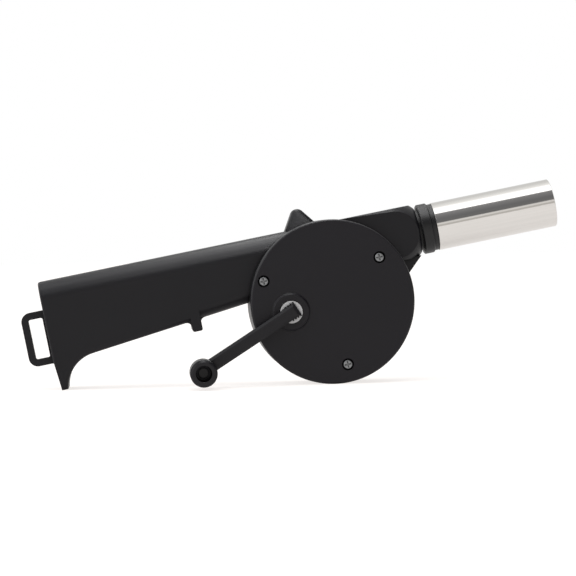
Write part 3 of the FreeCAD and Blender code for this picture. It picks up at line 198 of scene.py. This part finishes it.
def makeRoom():
    world = bpy.data.worlds.new("room")
    bpy.context.scene.world = world
    tree = nodeTree(world)
    coords = add(tree, "ShaderNodeTexCoord")
    split = add(tree, "ShaderNodeSeparateXYZ")
    link(tree, coords, "Generated", split, "Vector")
    height = add(tree, "ShaderNodeMapRange")
    height.inputs["From Min"].default_value = studio["straightDown"]
    link(tree, split, "Z", height, "Value")
    behind = share(tree, split, "Y", studio["sideBlend"])
    middle = blend(tree, behind, roomSide(tree, height, studio["frontSteps"]).outputs["Color"],
                   roomSide(tree, height, studio["backSteps"]).outputs["Color"])
    left = blend(tree, behind, roomSide(tree, height, studio["leftSteps"]).outputs["Color"],
                 roomSide(tree, height, studio["leftBackSteps"]).outputs["Color"])
    sides = blend(tree, share(tree, split, "X", studio["leftFrom"]), middle, left)
    room = add(tree, "ShaderNodeBackground")
    tree.links.new(sides, room.inputs["Color"])
    plain = add(tree, "ShaderNodeBackground")
    plain.inputs["Color"].default_value = studio["backdrop"]
    mix = add(tree, "ShaderNodeMixShader")
    link(tree, seenDirectly(tree), 0, mix, "Fac")
    tree.links.new(room.outputs[0], mix.inputs[1])
    tree.links.new(plain.outputs[0], mix.inputs[2])
    out = add(tree, "ShaderNodeOutputWorld")
    link(tree, mix, "Shader", out, "Surface")


def makeFloor():
    cells = studio["floorCells"]
    bpy.ops.mesh.primitive_grid_add(x_subdivisions=cells, y_subdivisions=cells, size=studio["floorSize"])
    floor = bpy.context.object
    floor.name = "floor"
    material = bpy.data.materials.new("floorPaper")
    tree = nodeTree(material)
    paper = add(tree, "ShaderNodeBsdfDiffuse")
    paper.inputs["Color"].default_value = studio["floorColour"]
    glow = add(tree, "ShaderNodeEmission")
    glow.inputs["Color"].default_value = studio["glowColour"]
    path = add(tree, "ShaderNodeLightPath")
    strength = add(tree, "ShaderNodeMapRange")
    link(tree, path, "Is Camera Ray", strength, "Value")
    strength.inputs["To Min"].default_value = studio["tableGlow"]
    strength.inputs["To Max"].default_value = studio["tableGlow"] + studio["cameraGlow"]
    link(tree, strength, "Result", glow, "Strength")
    both = add(tree, "ShaderNodeAddShader")
    tree.links.new(paper.outputs[0], both.inputs[0])
    tree.links.new(glow.outputs[0], both.inputs[1])
    out = add(tree, "ShaderNodeOutputMaterial")
    link(tree, both, "Shader", out, "Surface")
    floor.data.materials.append(material)


def makeLamp(name, lamp, reflectionOnly=False):
    light = bpy.data.lights.new(name, "AREA")
    light.shape = "RECTANGLE"
    light.size, light.size_y = lamp["size"]
    light.energy = lamp["watts"]
    holder = bpy.data.objects.new(name, light)
    bpy.context.scene.collection.objects.link(holder)
    at = Vector(lamp["at"])
    way = (Vector(lamp["aim"]) - at).to_track_quat("-Z", "Y").to_matrix().to_4x4()
    holder.matrix_world = Matrix.Translation(at) @ way
    holder.visible_camera = False
    holder.visible_glossy = reflectionOnly
    holder.visible_diffuse = not reflectionOnly


bpy.context.scene.view_settings.view_transform = "Standard"
makeRoom()
makeFloor()
for name, lamp in lamps.items():
    makeLamp(name, lamp)
for name, strip in strips.items():
    makeLamp(name, strip, reflectionOnly=True)
print("studio ready")


# What all finishes share: samples of their shading nodes, detail of their noises, the part of a noise's range
# that is used, and the depth of their grain
fineness = {
    "openSamples": 8, "edgeSamples": 4, "flowDetail": 3.0, "grainDetail": 2.0, "lineDetail": 4.0,
    "noiseSpan": (0.3, 0.7), "plasticGrain": 0.02 * mm, "metalGrain": 0.01 * mm,
}


def principled(name):
    material = bpy.data.materials.new(name)
    tree = nodeTree(material)
    shader = add(tree, "ShaderNodeBsdfPrincipled")
    out = add(tree, "ShaderNodeOutputMaterial")
    link(tree, shader, "BSDF", out, "Surface")
    return material, tree, shader


def noise(tree, coords, scale, detail):
    texture = add(tree, "ShaderNodeTexNoise")
    texture.inputs["Scale"].default_value = scale
    texture.inputs["Detail"].default_value = detail
    tree.links.new(coords, texture.inputs["Vector"])
    return texture


def mapped(tree, source, output, fromSpan, toSpan):
    span = add(tree, "ShaderNodeMapRange")
    link(tree, source, output, span, "Value")
    span.inputs["From Min"].default_value, span.inputs["From Max"].default_value = fromSpan
    span.inputs["To Min"].default_value, span.inputs["To Max"].default_value = toSpan
    return span


# A colour that changes with the noise, with painted shade that darkens it in gaps, holes and inner corners
# within the look's reach
def colouring(tree, shader, look, texture):
    tint = add(tree, "ShaderNodeMix", data_type="RGBA")
    link(tree, texture, "Fac", tint, "Factor")
    tint.inputs["A"].default_value = look["dark"]
    tint.inputs["B"].default_value = look["light"]
    # Painted shade: the ambient occlusion node darkens the colour where the part is closed in
    paintedShade = add(tree, "ShaderNodeAmbientOcclusion", samples=fineness["openSamples"])
    paintedShade.inputs["Distance"].default_value = look["shadeReach"]
    link(tree, tint, "Result", paintedShade, "Color")
    link(tree, paintedShade, "Color", shader, "Base Color")
    gloss = mapped(tree, texture, "Fac", fineness["noiseSpan"], look["rough"])
    link(tree, gloss, "Result", shader, "Roughness")
    return paintedShade


# The finish's fine grain, over edges that are softened by the look's radius
def relief(tree, shader, look, texture, depth):
    soft = add(tree, "ShaderNodeBevel", samples=fineness["edgeSamples"])
    soft.inputs["Radius"].default_value = look["edge"]
    bump = add(tree, "ShaderNodeBump")
    bump.inputs["Strength"].default_value = look["grain"]
    bump.inputs["Distance"].default_value = depth
    link(tree, texture, "Fac", bump, "Height")
    link(tree, soft, "Normal", bump, "Normal")
    link(tree, bump, "Normal", shader, "Normal")


# Sheen times the given share on the faces that stand across the part's front: a painted highlight on a rim
# where the share is above 1, painted shade on the sides where it is below 1
def paintedSideSheen(tree, sheen, sides):
    facing = add(tree, "ShaderNodeSeparateXYZ")
    link(tree, add(tree, "ShaderNodeTexCoord"), "Normal", facing, "Vector")
    square = add(tree, "ShaderNodeMath", operation="ABSOLUTE")
    link(tree, facing, "Y", square, 0)
    factor = add(tree, "ShaderNodeMapRange")
    factor.inputs["To Min"].default_value = sides
    link(tree, square, 0, factor, "Value")
    level = add(tree, "ShaderNodeMath", operation="MULTIPLY")
    link(tree, sheen, "Result", level, 0)
    link(tree, factor, "Result", level, 1)
    return level


# Moulded plastic: a fine spark-eroded grain, slow changes in gloss, softened edges, and painted shade in
# corners that darkens both its colour and its sheen
def plastic(name, look):
    material, tree, shader = principled(name)
    coords = add(tree, "ShaderNodeTexCoord").outputs["Object"]
    broad = noise(tree, coords, look["flowScale"], fineness["flowDetail"])
    fine = noise(tree, coords, look["grainScale"], fineness["grainDetail"])
    paintedShade = colouring(tree, shader, look, broad)
    # Painted shade: the sheen falls to the shaded sheen where the occlusion is deep
    sheen = mapped(tree, paintedShade, "AO", look.get("open", (0.0, 1.0)), (look["shadedSheen"], look["sheen"]))
    # Painted highlight on the cover's rim and painted shade on the crank's sides, by the direction the faces
    # point
    level = paintedSideSheen(tree, sheen, look["sides"]) if "sides" in look else sheen
    link(tree, level, 0, shader, "Specular IOR Level")
    relief(tree, shader, look, fine, fineness["plasticGrain"])
    return material


# Bare metal with fine lines along its grain, with painted shade in its recesses
def metal(name, look):
    material, tree, shader = principled(name)
    coords = add(tree, "ShaderNodeTexCoord")
    turn = add(tree, "ShaderNodeMapping", vector_type="TEXTURE")
    turn.inputs["Rotation"].default_value = look["turn"]
    turn.inputs["Scale"].default_value = look["stretch"]
    link(tree, coords, "Object", turn, "Vector")
    lines = noise(tree, turn.outputs["Vector"], look["lineScale"], fineness["lineDetail"])
    colouring(tree, shader, look, lines)
    shader.inputs["Metallic"].default_value = 1.0
    relief(tree, shader, look, lines, fineness["metalGrain"])
    return material


# How the tool lies: its drum's axis on the parting plane, in mm, and the handle's lean in degrees
lie = {"axis": (16.7266, 15.2, 35.5), "lean": 10.2831}
looks = {
    "housing_plastic": (plastic, {
        "dark": (0.0032, 0.0030, 0.0048, 1), "light": (0.0048, 0.0045, 0.0066, 1), "rough": (0.36, 0.42),
        "sheen": 0.30, "shadedSheen": 0.10, "shadeReach": 1.5 * mm,
        "flowScale": 45.0, "grainScale": 3500.0, "grain": 0.25, "edge": 0.25 * mm}),
    "cover_plastic": (plastic, {
        "dark": (0.0030, 0.0024, 0.0046, 1), "light": (0.0046, 0.0037, 0.0066, 1), "rough": (0.38, 0.44),
        "sheen": 0.32, "shadedSheen": 0.0, "shadeReach": 1.3 * mm, "open": (0.35, 0.72), "sides": 2.8,
        "flowScale": 40.0, "grainScale": 3000.0, "grain": 0.35, "edge": 0.12 * mm}),
    "collar_plastic": (plastic, {
        "dark": (0.0050, 0.0050, 0.0058, 1), "light": (0.0075, 0.0075, 0.0083, 1), "rough": (0.34, 0.42),
        "sheen": 0.42, "shadedSheen": 0.08, "shadeReach": 1.2 * mm,
        "flowScale": 60.0, "grainScale": 3500.0, "grain": 0.2, "edge": 0.2 * mm}),
    "crank_plastic": (plastic, {
        "dark": (0.0030, 0.0027, 0.0046, 1), "light": (0.0050, 0.0045, 0.0068, 1), "rough": (0.30, 0.38),
        "sheen": 0.35, "shadedSheen": 0.05, "shadeReach": 1.5 * mm, "sides": 0.25,
        "flowScale": 80.0, "grainScale": 3500.0, "grain": 0.2, "edge": 0.15 * mm}),
    "fan_plastic": (plastic, {
        "dark": (0.012, 0.012, 0.0125, 1), "light": (0.018, 0.018, 0.0185, 1), "rough": (0.42, 0.5),
        "sheen": 0.45, "shadedSheen": 0.1, "shadeReach": 2.0 * mm,
        "flowScale": 60.0, "grainScale": 3000.0, "grain": 0.2, "edge": 0.2 * mm}),
    "nylon": (plastic, {
        "dark": (0.56, 0.56, 0.57, 1), "light": (0.66, 0.66, 0.67, 1), "rough": (0.38, 0.5),
        "sheen": 0.5, "shadedSheen": 0.3, "shadeReach": 0.8 * mm,
        "flowScale": 200.0, "grainScale": 3000.0, "grain": 0.2, "edge": 0.15 * mm}),
    "polished_steel": (metal, {
        "dark": (0.74, 0.725, 0.70, 1), "light": (0.82, 0.80, 0.775, 1), "rough": (0.06, 0.11),
        "turn": (0, -math.radians(lie["lean"]), 0), "stretch": (30, 1, 1), "lineScale": 900.0, "grain": 0.08,
        "edge": 0.15 * mm, "shadeReach": 0.6 * mm}),
    "shaft_steel": (metal, {
        "dark": (0.50, 0.50, 0.50, 1), "light": (0.60, 0.60, 0.60, 1), "rough": (0.22, 0.3),
        "turn": (0, 0, 0), "stretch": (1, 20, 1), "lineScale": 1500.0, "grain": 0.1,
        "edge": 0.1 * mm, "shadeReach": 0.8 * mm}),
    "screw_steel": (metal, {
        "dark": (0.09, 0.095, 0.10, 1), "light": (0.47, 0.48, 0.49, 1), "rough": (0.26, 0.40),
        "turn": (0, 0, 0), "stretch": (1, 1, 1), "lineScale": 900.0, "grain": 0.6,
        "edge": 0.12 * mm, "shadeReach": 0.9 * mm}),
    "black_steel": (metal, {
        "dark": (0.020, 0.020, 0.022, 1), "light": (0.035, 0.035, 0.038, 1), "rough": (0.35, 0.5),
        "turn": (0, 0, 0), "stretch": (1, 1, 1), "lineScale": 1200.0, "grain": 0.2,
        "edge": 0.08 * mm, "shadeReach": 1.0 * mm}),
    "bush_brass": (metal, {
        "dark": (0.62, 0.44, 0.20, 1), "light": (0.72, 0.54, 0.27, 1), "rough": (0.25, 0.35),
        "turn": (0, 0, 0), "stretch": (1, 10, 1), "lineScale": 1500.0, "grain": 0.1,
        "edge": 0.1 * mm, "shadeReach": 0.8 * mm}),
}
finishes = {slot: make(slot, look) for slot, (make, look) in looks.items()}
slotOf = {part["node"]: part["material_slot"] for part in frame["record"]["subparts"]}
for node, piece in frame["nodes"].items():
    piece.data.materials.clear()
    piece.data.materials.append(finishes[slotOf[node]])
print("finishes given")


# The place in the scene of a place on the tool, in mm: x along the handle, z up from the drum's axis, y back
# from the parting plane
def lying(x, y, z):
    turn = math.radians(lie["lean"])
    return Vector((lie["axis"][0] + x * math.cos(turn) - z * math.sin(turn), lie["axis"][1] + y,
                   lie["axis"][2] + x * math.sin(turn) + z * math.cos(turn))) * mm


# The roundings of the new pieces: steps of an arc, and the bevel on their long outer edges
rounding = {"steps": 8, "segments": 3, "profile": 0.5}


def arc(centre, radius, first, last):
    steps = rounding["steps"]
    turns = [math.radians(first + (last - first) * step / steps) for step in range(steps + 1)]
    return [(centre[0] + radius * math.cos(turn), centre[1] + radius * math.sin(turn)) for turn in turns]


# A prism of the given outline whose half width follows the height, with its outer edges rounded
def makeWall(name, outline, halfAt, edge):
    shape = bmesh.new()
    sides = [[shape.verts.new(lying(x, sign * halfAt(z), z)) for x, z in outline] for sign in (-1, 1)]
    caps = [shape.faces.new(sides[0]), shape.faces.new(sides[1][::-1])]
    count = len(outline)
    for first in range(count):
        after = (first + 1) % count
        shape.faces.new((sides[0][after], sides[0][first], sides[1][first], sides[1][after]))
    bmesh.ops.recalc_face_normals(shape, faces=shape.faces)
    rims = [seam for cap in caps for seam in cap.edges]
    bmesh.ops.bevel(shape, geom=rims, offset=edge * mm, segments=rounding["segments"],
                    profile=rounding["profile"], affect="EDGES", clamp_overlap=True)
    for face in shape.faces:
        face.smooth = True
    mesh = bpy.data.meshes.new(name)
    shape.to_mesh(mesh)
    shape.free()
    wall = bpy.data.objects.new(name, mesh)
    bpy.context.scene.collection.objects.link(wall)
    wall.data.materials.append(finishes["housing_plastic"])
    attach(wall, "housing")


# The fin on top, wider at its foot than at its ridge
fin = {
    "foot": 31.0, "back": -14.6, "front": 3.4, "peak": -6.3, "height": 42.2, "ridgeRound": 3.0,
    "footHalf": 7.8, "ridgeHalf": 3.8, "edge": 1.2,
}


def makeFin():
    rise = fin["height"] - fin["foot"]
    backTilt = math.atan2(rise, fin["peak"] - fin["back"])
    frontTilt = math.atan2(rise, fin["front"] - fin["peak"])
    drop = fin["ridgeRound"] / math.cos((math.pi - backTilt - frontTilt) / 2)
    lean = (frontTilt - backTilt) / 2
    centre = (fin["peak"] + drop * math.sin(lean), fin["height"] - fin["ridgeRound"])
    ridge = arc(centre, fin["ridgeRound"], 90 - math.degrees(frontTilt), 90 + math.degrees(backTilt))
    outline = [(fin["back"], fin["foot"]), (fin["front"], fin["foot"])] + ridge
    fall = (fin["footHalf"] - fin["ridgeHalf"]) / rise
    makeWall("finShape", outline, lambda z: fin["footHalf"] - fall * (z - fin["foot"]), fin["edge"])


makeFin()
print("fin made")

# The finger stop under the handle: its back and front side, and the handle's underside that it stands on
stop = {
    "back": -61.4, "front": -57.0, "level": 10.25, "slope": 6.12, "sink": 0.6,
    "backRound": 2.2, "backHalf": 11.9, "frontRound": 1.9, "frontHalf": 9.4, "edge": 0.4,
}


# Height of the handle's underside at the given place along it
def underside(x):
    return stop["level"] + x * math.tan(math.radians(stop["slope"]))


# A fillet before (way 1) or behind (way -1) the given side of the stop, sunk a little into both walls
def makeStopFillet(name, side, way, radius, half):
    sink = stop["sink"]
    centre = (side + way * radius, underside(side + way * radius) - radius)
    curve = arc(centre, radius, 90, 180 if way > 0 else 0)
    sunk = side - way * sink
    outline = curve + [(sunk, curve[-1][1]), (sunk, underside(side) + sink),
                       (curve[0][0], curve[0][1] + sink)]
    makeWall(name, outline, lambda z: half, stop["edge"])


makeStopFillet("stopFilletBack", stop["back"], -1, stop["backRound"], stop["backHalf"])
makeStopFillet("stopFilletFront", stop["front"], 1, stop["frontRound"], stop["frontHalf"])
print("finger stop's fillets made")


# Each strip's light falls on the pieces in its own list only
def linkStrips():
    for name, strip in strips.items():
        receivers = bpy.data.collections.new(name + "Receivers")
        for piece in strip["lights"]:
            receivers.objects.link(frame["nodes"].get(piece) or bpy.data.objects[piece])
        bpy.data.objects[name].light_linking.receiver_collection = receivers


linkStrips()
print("strips linked to the mouldings")
